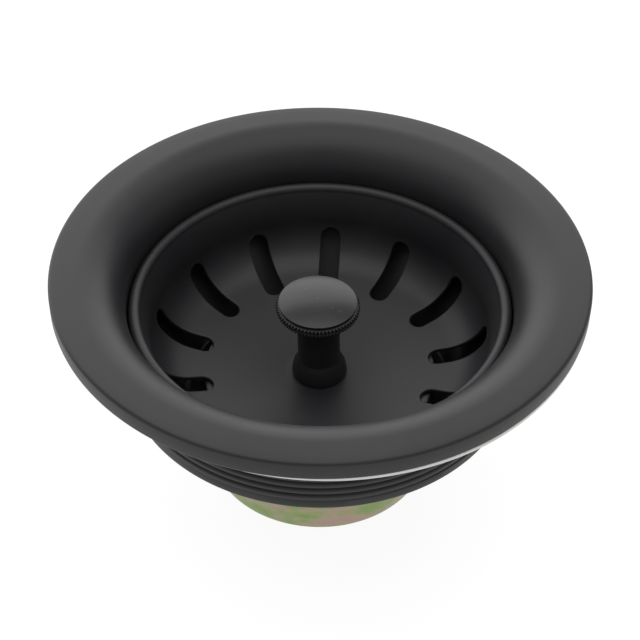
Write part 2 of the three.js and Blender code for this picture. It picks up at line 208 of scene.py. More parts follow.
# ---- Meshes ----
def turned_grid(rows, sides=ROUND_SIDES, centre=(0, 0)):
    """A grid of points from section rows: each row's radius and depth are numbers or one per column."""
    angles = column_angles(sides)
    radius = np.array([np.broadcast_to(r, angles.shape) for r, d in rows], float)
    depth = np.array([np.broadcast_to(d, angles.shape) for r, d in rows], float)
    x = radius * np.cos(angles) + centre[0]
    y = radius * np.sin(angles) + centre[1]
    return np.stack([x * MM, y * MM, TOP - depth * MM], -1)


def mesh_from_grids(name, grids, sharp_deg=40):
    """One closed mesh from grids of points, welded where they meet."""
    points, faces = [], []
    for grid in grids:
        rows, columns = grid.shape[:2]
        index = np.arange(rows * columns).reshape(rows, columns) + sum(len(p) for p in points)
        points.append(grid.reshape(-1, 3))
        quads = np.stack([index[:-1, :-1], index[:-1, 1:], index[1:, 1:], index[1:, :-1]], -1)
        faces.append(quads.reshape(-1, 4))
    mesh = bpy.data.meshes.new(name)
    mesh.from_pydata(np.concatenate(points).tolist(), [], np.concatenate(faces).tolist())
    welded = bmesh.new()
    welded.from_mesh(mesh)
    bmesh.ops.remove_doubles(welded, verts=welded.verts, dist=2e-6)
    bmesh.ops.dissolve_degenerate(welded, edges=welded.edges, dist=1e-7)
    bmesh.ops.recalc_face_normals(welded, faces=welded.faces)
    welded.to_mesh(mesh)
    welded.free()
    mesh.shade_smooth()
    mesh.set_sharp_from_angle(angle=math.radians(sharp_deg))
    piece = bpy.data.objects.new(name, mesh)
    bpy.context.scene.collection.objects.link(piece)
    return piece


def turned(name, rows, sides=ROUND_SIDES, centre=(0, 0), sharp_deg=40):
    """A closed turned piece whose section is the loop of rows."""
    return mesh_from_grids(name, [turned_grid([*rows, rows[0]], sides, centre)], sharp_deg)


# ---- Material nodes ----
def new_material(name):
    """A material with nothing but a principled shader."""
    material = bpy.data.materials.new(name)
    material.use_nodes = True
    tree = material.node_tree
    tree.nodes.clear()
    shader = tree.nodes.new("ShaderNodeBsdfPrincipled")
    output = tree.nodes.new("ShaderNodeOutputMaterial")
    tree.links.new(shader.outputs["BSDF"], output.inputs["Surface"])
    return material, tree, shader


def node(tree, kind, inputs, **settings):
    """A node with its settings and inputs; an input is a value or another node's output."""
    made = tree.nodes.new(kind)
    for key, value in settings.items():
        setattr(made, key, value)
    for key, value in inputs.items():
        if isinstance(value, bpy.types.NodeSocket):
            tree.links.new(value, made.inputs[key])
        else:
            made.inputs[key].default_value = value
    return made


def coordinates(tree, stretch=(1, 1, 1)):
    """The piece's own coordinates in metres, scaled along each axis."""
    source = tree.nodes.new("ShaderNodeTexCoord")
    return node(tree, "ShaderNodeVectorMath", {0: source.outputs["Object"], 1: stretch},
                operation="MULTIPLY").outputs["Vector"]


def noise(tree, vector, scale, detail=2.0, roughness=0.5):
    """Fractal noise; a larger scale is finer."""
    return node(tree, "ShaderNodeTexNoise", {"Vector": vector, "Scale": scale, "Detail": detail,
                                             "Roughness": roughness}).outputs["Fac"]


def spread(tree, value, low, high, to_low=0.0, to_high=1.0):
    """Maps a value from one range to another, clamped."""
    return node(tree, "ShaderNodeMapRange", {"Value": value, "From Min": low, "From Max": high,
                                             "To Min": to_low, "To Max": to_high}).outputs["Result"]


def mixed(tree, factor, first, second):
    """A colour between two colours."""
    made = node(tree, "ShaderNodeMix", {"Factor": factor}, data_type="RGBA")
    for socket, value in ((made.inputs[6], first), (made.inputs[7], second)):
        if isinstance(value, bpy.types.NodeSocket):
            tree.links.new(value, socket)
        else:
            socket.default_value = (*value, 1)
    return made.outputs[2]


def bump(tree, height, distance):
    """A normal roughened by a height, which counts for the distance in metres."""
    inputs = {"Height": height, "Distance": distance, "Strength": 1.0}
    return node(tree, "ShaderNodeBump", inputs).outputs["Normal"]


def connect(tree, shader, **sockets):
    """Links outputs to the shader's sockets, named with underscores for spaces."""
    for name, value in sockets.items():
        tree.links.new(value, shader.inputs[name.replace("_", " ")])


def constants(shader, values):
    """Sets plain values on the shader's sockets."""
    for name, value in values.items():
        shader.inputs[name].default_value = value


# ---- Finishes ----
def black_coat(name="black_coat", smoothness=0.0):
    """Satin black coating: fine orange peel, faint mottling, polished edges and a little dust."""
    material, tree, shader = new_material(name)
    place = coordinates(tree)
    mottle = noise(tree, place, 55, 4, 0.6)
    peel = noise(tree, place, 2400, 2, 0.5)
    deep = (0.0135, 0.0137, 0.0154)
    faded = (0.0188, 0.0189, 0.0208)
    colour = mixed(tree, spread(tree, mottle, 0.3, 0.7), deep, faded)
    edge = node(tree, "ShaderNodeNewGeometry", {}).outputs["Pointiness"]
    colour = mixed(tree, spread(tree, edge, 0.53, 0.62, 0, 0.35), colour, (0.06, 0.06, 0.063))
    specks = node(tree, "ShaderNodeTexVoronoi", {"Vector": place, "Scale": 260.0})
    rare = node(tree, "ShaderNodeSeparateColor", {"Color": specks.outputs["Color"]}).outputs["Red"]
    reach = spread(tree, rare, 0.93, 1.0, 0, 0.05)
    away = specks.outputs["Distance"]
    dust = node(tree, "ShaderNodeMath", {0: away, 1: reach}, operation="LESS_THAN")
    colour = mixed(tree, dust.outputs["Value"], colour, (0.22, 0.22, 0.22))
    rough = spread(tree, mottle, 0.3, 0.7, 0.42 - smoothness, 0.49 - smoothness)
    normal = bump(tree, peel, 4e-6)
    connect(tree, shader, Base_Color=colour, Roughness=rough, Normal=normal)
    constants(shader, {"Metallic": 0.0, "IOR": 1.38})
    return material


def chromate():
    """Yellow zinc chromate: an iridescent film that wanders from green to pink round the axis."""
    material, tree, shader = new_material("chromate")
    bands = coordinates(tree, (1, 1, 2.6))
    film = noise(tree, bands, 120, 3, 0.55)
    ramp = node(tree, "ShaderNodeValToRGB", {"Fac": film})
    stops = [(0.36, (0.175, 0.28, 0.085)), (0.47, (0.235, 0.29, 0.13)), (0.55, (0.325, 0.285, 0.19)),
             (0.64, (0.375, 0.255, 0.22)), (0.78, (0.25, 0.28, 0.17))]
    for k, (position, colour) in enumerate(stops):
        stop = ramp.color_ramp.elements[k] if k < 2 else ramp.color_ramp.elements.new(position)
        stop.position = position
        stop.color = (*colour, 1)
    stains = noise(tree, coordinates(tree, (1, 1, 2)), 400, 4, 0.6)
    stained = spread(tree, stains, 0.55, 0.8, 0, 0.5)
    colour = mixed(tree, stained, ramp.outputs["Color"], (0.30, 0.30, 0.20))
    rough = spread(tree, stains, 0.3, 0.7, 0.26, 0.42)
    normal = bump(tree, noise(tree, bands, 1500, 3, 0.6), 4e-6)
    connect(tree, shader, Base_Color=colour, Roughness=rough, Normal=normal)
    constants(shader, {"Metallic": 1.0})
    return material


def steel():
    """Turned stainless steel: fine rings of tool marks and a few water marks."""
    material, tree, shader = new_material("steel")
    source = tree.nodes.new("ShaderNodeTexCoord")
    place = source.outputs["Object"]
    flat = node(tree, "ShaderNodeVectorMath", {0: place, 1: (1, 1, 0)}, operation="MULTIPLY")
    radius = node(tree, "ShaderNodeVectorMath", {0: flat.outputs["Vector"]}, operation="LENGTH")
    height = node(tree, "ShaderNodeSeparateXYZ", {0: place}).outputs["Z"]
    across = node(tree, "ShaderNodeMath", {0: radius.outputs["Value"], 1: height}, operation="ADD")
    lines = node(tree, "ShaderNodeCombineXYZ", {"X": across.outputs["Value"]}).outputs["Vector"]
    marks = noise(tree, lines, 9000, 2, 0.7)
    patches = noise(tree, coordinates(tree), 150, 4, 0.6)
    colour = mixed(tree, spread(tree, patches, 0.35, 0.7), (0.58, 0.58, 0.57), (0.44, 0.44, 0.43))
    rough = spread(tree, patches, 0.3, 0.7, 0.24, 0.38)
    normal = bump(tree, marks, 3e-6)
    connect(tree, shader, Base_Color=colour, Roughness=rough, Normal=normal)
    constants(shader, {"Metallic": 1.0})
    return material


def rubber():
    """Moulded black rubber, grey where it has bloomed."""
    material, tree, shader = new_material("rubber")
    place = coordinates(tree)
    bloom = noise(tree, place, 130, 5, 0.65)
    colour = mixed(tree, spread(tree, bloom, 0.45, 0.75), (0.075, 0.075, 0.077), (0.12, 0.119, 0.115))
    rough = spread(tree, bloom, 0.3, 0.7, 0.52, 0.7)
    normal = bump(tree, noise(tree, place, 3000, 3, 0.6), 8e-6)
    connect(tree, shader, Base_Color=colour, Roughness=rough, Normal=normal)
    constants(shader, {"Metallic": 0.0})
    return material


def foam():
    """White closed-cell foam with fine pores, a little soiled."""
    material, tree, shader = new_material("foam")
    place = coordinates(tree)
    soil = noise(tree, place, 90, 5, 0.6)
    colour = mixed(tree, spread(tree, soil, 0.5, 0.8), (0.72, 0.71, 0.68), (0.58, 0.56, 0.51))
    cells = node(tree, "ShaderNodeTexVoronoi", {"Vector": place, "Scale": 2600.0}).outputs["Distance"]
    rough = spread(tree, soil, 0.3, 0.7, 0.8, 0.95)
    normal = bump(tree, cells, 5e-5)
    connect(tree, shader, Base_Color=colour, Roughness=rough, Normal=normal)
    constants(shader, {"Metallic": 0.0})
    return material


def fibre():
    """Pressed brown fibre board with short flecks."""
    material, tree, shader = new_material("fibre")
    place = coordinates(tree)
    long_flecks = noise(tree, coordinates(tree, (1, 0.25, 3)), 1300, 4, 0.7)
    cross_flecks = noise(tree, coordinates(tree, (0.25, 1, 3)), 1300, 4, 0.7)
    both = node(tree, "ShaderNodeMath", {0: long_flecks, 1: cross_flecks}, operation="MAXIMUM")
    flecks = both.outputs["Value"]
    tone = mixed(tree, noise(tree, place, 60, 3), (0.30, 0.205, 0.12), (0.42, 0.31, 0.20))
    colour = mixed(tree, spread(tree, flecks, 0.55, 0.72), tone, (0.17, 0.115, 0.07))
    rough = spread(tree, flecks, 0.4, 0.7, 0.85, 0.97)
    normal = bump(tree, flecks, 3e-5)
    connect(tree, shader, Base_Color=colour, Roughness=rough, Normal=normal)
    constants(shader, {"Metallic": 0.0})
    return material


def nylon():
    """Natural nylon: milky, with a faint moulding texture."""
    material, tree, shader = new_material("nylon")
    place = coordinates(tree)
    cloud = noise(tree, place, 160, 4, 0.6)
    colour = mixed(tree, spread(tree, cloud, 0.3, 0.7), (0.72, 0.71, 0.64), (0.62, 0.60, 0.53))
    rough = spread(tree, cloud, 0.3, 0.7, 0.35, 0.5)
    normal = bump(tree, noise(tree, place, 2000, 2), 6e-6)
    connect(tree, shader, Base_Color=colour, Roughness=rough, Normal=normal)
    constants(shader, {"Metallic": 0.0, "Subsurface Weight": 0.2, "Subsurface Scale": 0.001})
    return material


FINISHES = {
    "black_coat": black_coat(),
    "chromate": chromate(),
    "steel": steel(),
    "rubber": rubber(),
    "foam": foam(),
    "fibre": fibre(),
    "nylon": nylon(),
}
KNOB_COAT = black_coat("knob_coat", smoothness=0.2)
OUTLET_COAT = black_coat("outlet_coat", smoothness=-0.35)
BODY_OF = {n: body for body, nodes in frame["record"]["behaviour"]["bodies"].items() for n in nodes}


def stands_for(piece, cad_node, slot, material=None):
    """Gives a fine piece its finish, and puts it in its CAD node's place on the same body."""
    piece.data.materials.append(material or FINISHES[slot])
    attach(piece, BODY_OF[cad_node])
    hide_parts(cad_node)
    return piece


# ---- Drain body ----
def drain_body():
    """One drawn shell: flange, bend, throat, a neck rolled into a thread, and a cone to the floor."""
    bend_centre = THROAT_R + BEND_R
    lean_angle = math.radians(CONE_DEG)
    cone_start_r = THROAT_R - CONE_FILLET * (1 - math.cos(lean_angle))
    cone_start = CONE_TOP + CONE_FILLET * math.sin(lean_angle)
    thickness = WALL / math.cos(lean_angle)
    hole = OUTLET_R + CAD_GAP
    under_floor = CUP_FLOOR + WALL

    def cone_r(depth):
        """Inner radius of the cone at a depth."""
        return cone_start_r - (depth - cone_start) * math.tan(lean_angle)

    rim_depth = 4
    rim_round = 0.8
    neck_plain = 26.9
    outside = rounded([
        (hole, CUP_FLOOR, 0),
        (hole, under_floor, 0.3),
        (cone_r(under_floor) + thickness, under_floor, 1.6),
        (cone_r(NECK_DEPTH) + thickness, NECK_DEPTH, 0.8),
        (NECK_R, NECK_DEPTH, 0.5),
        (NECK_R, neck_plain, 0),
    ], loop=False)
    groove_offset = FRONT_GROOVE_DEPTH + 0.75 * NECK_PITCH
    neck = thread(NECK_R, NECK_GROOVE, NECK_PITCH, neck_plain, BEND_R, rolled_form,
                  offset=groove_offset)
    under_corner_r = FLANGE_R - WALL - rim_round
    under_flange = [
        *arc(bend_centre, BEND_R, BEND_R - WALL, 180, 90, 14),
        (under_corner_r, WALL),
        *arc(under_corner_r, WALL + rim_round, rim_round, 90, 0, 5),
        *arc(FLANGE_R - WALL / 2, rim_depth - 0.25, WALL / 2, 180, 360, 8),
    ]
    inside = [
        *arc(FLANGE_R - rim_round, rim_round, rim_round, 0, 90, 7),
        (FLANGE_R - 2.5, 0),
        *arc(bend_centre, BEND_R, BEND_R, 90, 180, 28),
        (THROAT_R, (BEND_R + CONE_TOP) / 2),
        *arc(THROAT_R - CONE_FILLET, CONE_TOP, CONE_FILLET, 0, -CONE_DEG, 16),
        *rounded([
            (cone_start_r, cone_start, 0),
            (cone_r(CUP_FLOOR), CUP_FLOOR, 1.2),
            (hole, CUP_FLOOR, 0.3),
            (hole, under_floor, 0),
        ], loop=False),
    ]
    return turned("drain_body_shell", [*outside, *neck, *under_flange, *inside])


def outlet_tube():
    """The threaded outlet, flanged inside the cup."""
    flange_r, top, bottom = extent("outlet_spud")
    flange = 1.1
    flange_bottom = top + flange
    bore, ledge_r, mouth_r = 20.3, 18.8, 22.4
    ledge_depth = extent("crossbar")[2] + TOUCH
    threads = thread(OUTLET_R, OUTLET_GROOVE, OUTLET_PITCH, bottom - 0.5, flange_bottom + 1.4, cut_form)
    rows = [
        *rounded([
            (ledge_r, top, 0),
            (ledge_r, bottom, 0.3),
            (OUTLET_R, bottom, 0.4),
            (OUTLET_R, flange_bottom, 0),
        ], loop=False),
        *threads,
        *rounded([
            (OUTLET_R, bottom, 0),
            (OUTLET_R, flange_bottom, 0.2),
            (flange_r, flange_bottom, 0.3),
            (flange_r, top, 0.4),
            (mouth_r, top, 0.5),
            (bore, top + 2.5, 0.8),
            (bore, ledge_depth, 0.2),
            (ledge_r, ledge_depth, 0.3),
            (ledge_r, bottom, 0),
        ], loop=False),
    ]
    return turned("outlet_tube", rows)


# ---- Washers and gaskets ----
def washer(name, inner_r, outer_r, top, bottom, rounding, centre=(0, 0), wave=0.0, sides=ROUND_SIDES):
    """A flat ring with rounded edges. The wave is a slow unevenness of its edges."""
    angles = column_angles(sides)
    ripple = 0.6 * np.sin(5 * angles + 2.1) + 0.4 * np.sin(11 * angles)
    drift = wave * (np.sin(2 * angles + 0.7) + ripple)
    section = rounded([
        (inner_r, bottom, rounding),
        (outer_r, bottom, rounding),
        (outer_r, top, rounding),
        (inner_r, top, rounding),
    ])
    return turned(name, [(r + drift, d) for r, d in section], sides, centre)


def flange_seal():
    """The foam ring under the flange, a little off the drain's axis."""
    hole_r = 47.6
    outer_r, top, bottom = extent("flange_seal")
    low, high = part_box("flange_seal")
    centre = ((low.x + high.x) / 2 / MM, (low.y + high.y) / 2 / MM)
    return washer("flange_seal_foam", hole_r, outer_r, top, bottom + 0.1, 0.32, centre, wave=0.06)


# ---- Nuts ----
def lugs(angles, base_r, lug_r, width):
    """The outline of a nut with square lugs: its radius at each angle."""
    step = 2 * np.pi / LUG_COUNT
    across = np.mod(angles + step / 2, step) - step / 2
    half = math.asin(width / 2 / lug_r)
    side = 0.45 / lug_r
    rise = smooth((half - np.abs(across)) / side + 0.5)
    return base_r + (lug_r / np.cos(across) - base_r) * rise


def plate_edge(outline, top, bottom, reach, rounding, knee):
    """Rows round the outline of a nut's plate, from its underside to its top, with eased edges.

    The rows begin and end a reach in from the outline. Each edge is eased over the rounding, by way
    of a knee near the corner.
    """
    steps = [
        (reach, bottom),
        (rounding, bottom),
        (knee, bottom - knee),
        (0, bottom - rounding),
        (0, top + rounding),
        (knee, top + knee),
        (rounding, top),
        (reach, top),
    ]
    return [(outline - inset, depth) for inset, depth in steps]


def lock_nut():
    """The stamped nut under the sink: threaded collar, flat plate and driving lugs."""
    lug_r, top, bottom = extent("locknut")
    bore, collar_r, plate_r = NECK_R + 0.2, 46.3, 48.6
    groove = 0.75
    lug_width, plate = 9, 1.1
    plate_bottom = top + plate
    sides = LUG_COUNT * 90
    outline = lugs(column_angles(sides), plate_r, lug_r, lug_width)
    threads = thread(bore + groove, groove, NECK_PITCH, top + 0.5, bottom - 0.5, rolled_form,
                     sides=sides)
    rows = [
        *rounded([
            (bore + groove, top, 0),
            (bore + groove, bottom, 0.2),
            (collar_r, bottom, 0.5),
            (collar_r, plate_bottom, 0.5),
            (plate_r, plate_bottom, 0),
        ], loop=False),
        *plate_edge(outline, top, plate_bottom, 1.2, 0.35, 0.1),
        (bore + 1.2, top),
        *threads,
    ]
    return turned("lock_nut", rows, sides)


def outlet_nut():
    """The round spanner nut that holds the outlet to the cup."""
    outer_r, top, bottom = extent("spud_nut")
    notch_count, notch_half, notch_side, notch_depth = 4, 3, 0.5, 2.4
    sides = notch_count * 120
    angles = column_angles(sides)
    step = 2 * np.pi / notch_count
    across = np.mod(angles, step) - step / 2
    notch = smooth((math.asin(notch_half / outer_r) - np.abs(across)) / (notch_side / outer_r) + 0.5)
    outline = outer_r - notch_depth * notch
    bore, groove = OUTLET_R + 0.25, 0.9
    threads = thread(bore + groove, groove, OUTLET_PITCH, top + 0.4, bottom - 0.4, cut_form,
                     sides=sides)
    rows = [
        (bore + groove, bottom),
        *plate_edge(outline, top, bottom, 2, 0.5, 0.15),
        *threads,
    ]
    return turned("outlet_nut", rows, sides)


def tailpiece_nut():
    """The tailpiece nut: smooth skirt, lugged collar on top and a lip turned in below."""
    lug_r, top, bottom = extent("coupling_nut")
    skirt_r, collar_r, lip_r = 25.3, 26.9, 19.3
    collar, lip, lug_width = 2.6, 1.3, 6.5
    collar_bottom = top + collar
    bore, groove = OUTLET_R + 0.2, 0.85
    thread_end = bottom - lip - 1.2
    sides = LUG_COUNT * 64
    outline = lugs(column_angles(sides), collar_r, lug_r, lug_width)
    threads = thread(bore + groove, groove, OUTLET_PITCH, top + 0.5, thread_end, cut_form, sides=sides)
    rows = [
        *rounded([
            (lip_r, bottom - lip, 0),
            (lip_r, bottom, 0.35),
            (skirt_r, bottom, 0.8),
            (skirt_r, collar_bottom, 0.3),
            (collar_r, collar_bottom, 0),
        ], loop=False),
        *plate_edge(outline, top, collar_bottom, 0.9, 0.35, 0.1),
        (bore + 1.2, top),
        *threads,
        *rounded([
            (bore, top, 0),
            (bore, bottom - lip, 0.4),
            (lip_r, bottom - lip, 0.35),
            (lip_r, bottom, 0),
        ], loop=False),
    ]
    return turned("tailpiece_nut", rows, sides)


# ---- Pieces inside the outlet ----
def flat_plate(name, outlines, top, bottom, bevel):
    """A plate with rounded edges between two depths, from closed outlines in millimetres."""
    curve = bpy.data.curves.new(name, "CURVE")
    curve.dimensions = "2D"
    curve.fill_mode = "BOTH"
    curve.extrude = (bottom - top) / 2 * MM - bevel * MM
    curve.bevel_depth = bevel * MM
    curve.bevel_resolution = 2
    curve.offset = -bevel * MM
    for outline in outlines:
        spline = curve.splines.new("POLY")
        spline.points.add(len(outline) - 1)
        for point, (x, y) in zip(spline.points, outline):
            point.co = (x * MM, y * MM, 0, 1)
        spline.use_cyclic_u = True
    holder = bpy.data.objects.new(name + "_outline", curve)
    bpy.context.scene.collection.objects.link(holder)
    holder.location.z = TOP - (top + bottom) / 2 * MM
    bpy.context.view_layer.update()
    mesh = bpy.data.meshes.new_from_object(holder.evaluated_get(bpy.context.evaluated_depsgraph_get()))
    mesh.transform(holder.matrix_world)
    bpy.data.objects.remove(holder)
    mesh.name = name
    mesh.shade_smooth()
    mesh.set_sharp_from_angle(angle=math.radians(40))
    piece = bpy.data.objects.new(name, mesh)
    bpy.context.scene.collection.objects.link(piece)
    return piece


def circle(radius, count=128):
    """A closed outline round the drain's axis."""
    angles = np.linspace(0, 2 * np.pi, count, endpoint=False)
    return [(radius * math.cos(a), radius * math.sin(a)) for a in angles]


def cross_bar():
    """The stamped cross in the outlet: outer ring, four arms and a hub."""
    outer_r, top, bottom = extent("crossbar")
    window_outer, window_inner, half_arm = outer_r - 1.8, 7.6, 1.8
    hub_hole_r, corner = 4.7, 1.1
    outlines = [circle(outer_r), circle(hub_hole_r, 64)]
    for quarter in range(4):
        start = quarter * math.pi / 2
        ends = []
        for radius in (window_outer, window_inner):
            shrink = math.asin((half_arm + corner) / radius)
            ends.append(np.linspace(start + shrink, start + math.pi / 2 - shrink, 24))
        outside = [(window_outer * math.cos(a), window_outer * math.sin(a)) for a in ends[0]]
        inside = [(window_inner * math.cos(a), window_inner * math.sin(a)) for a in ends[1][::-1]]
        outlines.append([*outside, *inside])
    return flat_plate("cross_bar", outlines, top, bottom, 0.2)


def hub_sleeve():
    """The flanged sleeve that the stem plugs into, grooved for the clip."""
    flange_r, top, bottom = extent("hub_socket")
    bore, sleeve_r = 3, 4.4
    groove_depth, groove_half = 0.8, 0.6
    flange_bottom = extent("crossbar")[1] - TOUCH
    rows = rounded([
        (bore, bottom, 0.25),
        (sleeve_r, bottom, 0.3),
        (sleeve_r, flange_bottom, 0.1),
        (flange_r, flange_bottom, 0.2),
        (flange_r, top, 0.3),
        (bore, top, 0.4),
        (bore, CLIP_DEPTH - groove_half, 0.05),
        (bore + groove_depth, CLIP_DEPTH - groove_half, 0.1),
        (bore + groove_depth, CLIP_DEPTH + groove_half, 0.1),
        (bore, CLIP_DEPTH + groove_half, 0.05),
    ])
    return turned("hub_sleeve", rows, 96)


def tube(name, path, radius, sides=12):
    """A round wire along a path of points in metres, with domed ends."""
    path = np.array(path, float)
    along = np.gradient(path, axis=0)
    along /= np.linalg.norm(along, axis=1)[:, None]
    up = np.array([0, 0, 1.0])
    across = np.cross(along, up)
    turn = np.linspace(0, 2 * np.pi, sides + 1)
    dome = np.radians([90, 60, 30, 0])
    sizes = [*np.cos(dome), *np.ones(len(path) - 2), *np.cos(dome[::-1])]
    centres = [path[0] - along[0] * radius * math.sin(a) for a in dome]
    centres += list(path[1:-1])
    centres += [path[-1] + along[-1] * radius * math.sin(a) for a in dome[::-1]]
    frames = [0] * len(dome) + list(range(1, len(path) - 1)) + [len(path) - 1] * len(dome)
    rows = []
    for centre, size, k in zip(centres, sizes, frames):
        ring = np.outer(np.cos(turn), across[k]) + np.outer(np.sin(turn), up)
        rows.append(centre + ring * radius * size)
    return mesh_from_grids(name, [np.array(rows)])


def retaining_clip():
    """An open ring of spring wire that grips the stem."""
    clip_r, wire, opening = 3.25, 0.4, 0.9
    low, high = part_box("clip_spring")
    angles = np.linspace(opening / 2, 2 * np.pi - opening / 2, 60)
    height = (low.z + high.z) / 2
    path = [(clip_r * MM * math.cos(a), clip_r * MM * math.sin(a), height) for a in angles]
    return tube("retaining_clip", path, wire * MM)


# ---- Basket ----
def bowl_curve():
    """The bowl's inner surface from the stem hole to its rim, as finely spaced radius and depth."""
    centre_r = BOWL_WALL_R - BOWL_CORNER_R
    edge = math.radians(DISH_EDGE_DEG)
    dish_r = centre_r + BOWL_CORNER_R * math.cos(edge)
    dish_depth = BOWL_CORNER_DEPTH + BOWL_CORNER_R * math.sin(edge)
    radius = np.linspace(STEM_R + CAD_GAP, dish_r, 160)[:-1]
    share = np.clip((radius - FLOOR_FLAT_R) / (dish_r - FLOOR_FLAT_R), 0, 1)
    dish = list(zip(radius, BASKET_FLOOR - (BASKET_FLOOR - dish_depth) * share ** DISH_POWER))
    corner = arc(centre_r, BOWL_CORNER_DEPTH, BOWL_CORNER_R, -DISH_EDGE_DEG, 0, 60)
    rim_r = BASKET_R - 2 * BEAD_R
    bead_depth = BASKET_TOP + BEAD_R
    t = np.linspace(0, 1, 40)[1:]
    wall_r = BOWL_WALL_R + (rim_r - BOWL_WALL_R) * t ** 1.6
    wall = list(zip(wall_r, BOWL_CORNER_DEPTH + (bead_depth - BOWL_CORNER_DEPTH) * t))
    return np.array([*dish, *corner, *wall])


class Bowl:
    """The bowl's sheet, by distance along its section and angle round it."""

    def __init__(self):
        self.curve = bowl_curve()
        steps = np.hypot(*np.diff(self.curve, axis=0).T)
        self.distance = np.concatenate([[0], np.cumsum(steps)])
        tangent = np.gradient(self.curve, self.distance, axis=0)
        kernel = np.ones(7) / 7
        padded = [np.pad(part, len(kernel) // 2, mode="edge") for part in tangent.T]
        tangent = np.stack([np.convolve(part, kernel, "valid") for part in padded], -1)
        tangent /= np.linalg.norm(tangent, axis=1)[:, None]
        self.outwards = np.stack([-tangent[:, 1], tangent[:, 0]], -1)

    def at_radius(self, radius):
        """Distance along the section where the dish has this radius."""
        last = int(np.argmax(self.curve[:, 0] >= BOWL_WALL_R - 1e-3))
        return np.interp(radius, self.curve[:last, 0], self.distance[:last])

    def at_depth(self, depth):
        """Distance along the section where the corner or wall has this depth."""
        first = int(np.argmax(self.curve[:, 0] > FLOOR_FLAT_R))
        return np.interp(-depth, -self.curve[first:, 1], self.distance[first:])

    def radius_at(self, distance):
        """Radius of the inner surface at a distance along the section."""
        return np.interp(distance, self.distance, self.curve[:, 0])

    def point(self, distance, angle, below):
        """A point of the sheet, some way below its inner surface, in metres."""
        radius = np.interp(distance, self.distance, self.curve[:, 0])
        depth = np.interp(distance, self.distance, self.curve[:, 1])
        out_r = np.interp(distance, self.distance, self.outwards[:, 0])
        out_d = np.interp(distance, self.distance, self.outwards[:, 1])
        radius = radius + out_r * below
        depth = depth + out_d * below
        x, y = radius * np.cos(angle), radius * np.sin(angle)
        return np.stack([x * MM, y * MM, TOP - depth * MM], -1)


def slot_outline(inner, outer, grow, end_steps, side_steps):
    """A slot's outline grown outwards, as distance along and across.

    It goes round from the inner end by one side to the outer end, and back by the other side.
    """
    half = SLOT_WIDTH / 2
    inner, outer = inner + half, outer - half
    inner_end = np.radians(np.linspace(270, 90, end_steps + 1))
    outer_end = np.radians(np.linspace(90, -90, end_steps + 1))
    straight = np.linspace(inner, outer, side_steps + 1)[1:-1]
    along = np.concatenate([inner + (half + grow) * np.cos(inner_end), straight,
                            outer + (half + grow) * np.cos(outer_end), straight[::-1], [inner]])
    across = np.concatenate([(half + grow) * np.sin(inner_end), np.full(side_steps - 1, half + grow),
                             (half + grow) * np.sin(outer_end), np.full(side_steps - 1, -half - grow),
                             [-half - grow]])
    return along, across


def basket_bowl():
    """The perforated bowl: punched slots with rounded edges, and a rolled bead for a rim."""
    bowl = Bowl()
    end_steps, side_steps, layers = 14, 18, 8
    floor_steps, wall_steps = 34, 10
    sides = SLOT_COUNT * end_steps
    half_sector = math.pi / SLOT_COUNT
    phase = math.radians(SLOT_PHASE_DEG)
    first, last = bowl.at_radius(BAND_INNER_R), bowl.at_depth(BAND_OUTER_DEPTH)
    slot_inner, slot_outer = bowl.at_radius(SLOT_INNER_R), bowl.at_depth(SLOT_OUTER_DEPTH)
    edge_round = 0.3
    base = column_angles(sides) + phase - half_sector
    grids = []

    def strip(start, end, count, below):
        """The sheet's plain surface on one side of the band of slots."""
        steps = np.linspace(start, end, count + 1)
        grids.append(np.array([bowl.point(np.full(base.shape, s), base, below) for s in steps]))

    for below in (0, BASKET_SHEET):
        strip(0, first, floor_steps, below)
        strip(last, bowl.distance[-1], wall_steps, below)

    frame_s = np.concatenate([np.full(end_steps + 1, first),
                              np.linspace(first, last, side_steps + 1)[1:-1],
                              np.full(end_steps + 1, last),
                              np.linspace(last, first, side_steps + 1)[1:]])
    frame_a = np.concatenate([np.linspace(-half_sector, half_sector, end_steps + 1),
                              np.full(side_steps - 1, half_sector),
                              np.linspace(half_sector, -half_sector, end_steps + 1),
                              np.full(side_steps, -half_sector)])
    hole_s, across = slot_outline(slot_inner, slot_outer, edge_round, end_steps, side_steps)
    hole_a = across / bowl.radius_at(hole_s)
    turn = np.linspace(0, math.pi / 2, 6)
    rounding = [(edge_round * (1 - math.sin(t)), edge_round * (1 - math.cos(t))) for t in turn]
    wall = [*rounding, *[(grow, BASKET_SHEET - below) for grow, below in rounding[::-1]]]
    for k in range(SLOT_COUNT):
        centre = phase + 2 * math.pi * k / SLOT_COUNT
        for below in (0, BASKET_SHEET):
            rows = []
            for layer in range(layers + 1):
                share = (layer / layers) ** 1.4
                s = hole_s + (frame_s - hole_s) * share
                a = hole_a + (frame_a - hole_a) * share
                rows.append(bowl.point(s, a + centre, below))
            grids.append(np.array(rows))
        rows = []
        for grow, below in wall:
            s, across = slot_outline(slot_inner, slot_outer, grow, end_steps, side_steps)
            rows.append(bowl.point(s, across / bowl.radius_at(s) + centre, below))
        grids.append(np.array(rows))

    bead_r = BASKET_R - BEAD_R
    bead_depth = BASKET_TOP + BEAD_R
    rim, stem_hole = bowl.distance[-1], 0.0
    curl_r = 0.45
    lip = [
        section_point(bowl, rim, 0),
        *arc(bead_r, bead_depth, BEAD_R, 180, 0, 18)[1:],
        (bead_r + BEAD_R, bead_depth + 0.7),
        *arc(bead_r + BEAD_R - curl_r, bead_depth + 0.8, curl_r, 0, -150, 8),
        section_point(bowl, rim, BASKET_SHEET),
    ]
    hole = [section_point(bowl, stem_hole, below) for below in (0, BASKET_SHEET)]
    grids += [grid_at(lip, base), grid_at(hole, base)]
    return mesh_from_grids("basket_bowl", grids, 50)


